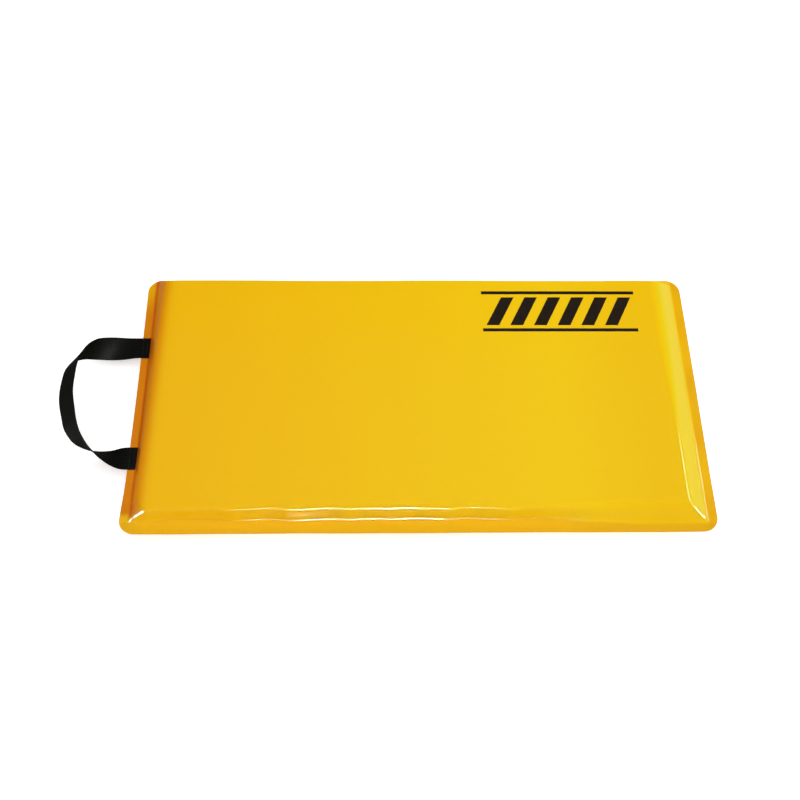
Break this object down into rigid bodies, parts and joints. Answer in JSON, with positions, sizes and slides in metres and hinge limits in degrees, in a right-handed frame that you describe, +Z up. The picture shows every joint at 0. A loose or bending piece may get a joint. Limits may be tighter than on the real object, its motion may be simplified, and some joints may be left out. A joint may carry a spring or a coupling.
{
  "type": "kneeling pad",
  "caption": "Rectangular kneeling pad: a foam slab sealed between glossy vinyl sheets with a welded edge flange, and a webbing carry loop sewn to one end.",
  "frame": {"origin": "on the floor, under the middle of the pad's outline", "axes": "+X along the pad's length, away from the handle; +Y to the rear long side; +Z up from the floor"},
  "size_m": [0.6737, 0.3, 0.0532],
  "materials": {
    "vinyl": "glossy calendered sheet",
    "foam": "matte closed-cell foam",
    "webbing": "woven tape with a soft sheen",
    "thread": "twisted thread",
    "ink": "satin screen-printed ink"
  },
  "bodies": {
    "pad": {"top_cover": "vinyl", "bottom_cover": "vinyl", "foam_core": "foam", "handle_rear_tab": "webbing", "handle_front_tab": "webbing", "rear_tack_stitches": "thread", "front_tack_stitches": "thread", "printed_mark": "ink"},
    "handle": {"handle_loop": "webbing"}
  },
  "joints": [
    {"name": "handle_fold", "type": "hinge", "parent": "pad", "child": "handle", "pos_m": [-0.3005, -0.00365, 0.0177], "axis": [0, 1, 0], "range_deg": [-16, 115]}
  ]
}
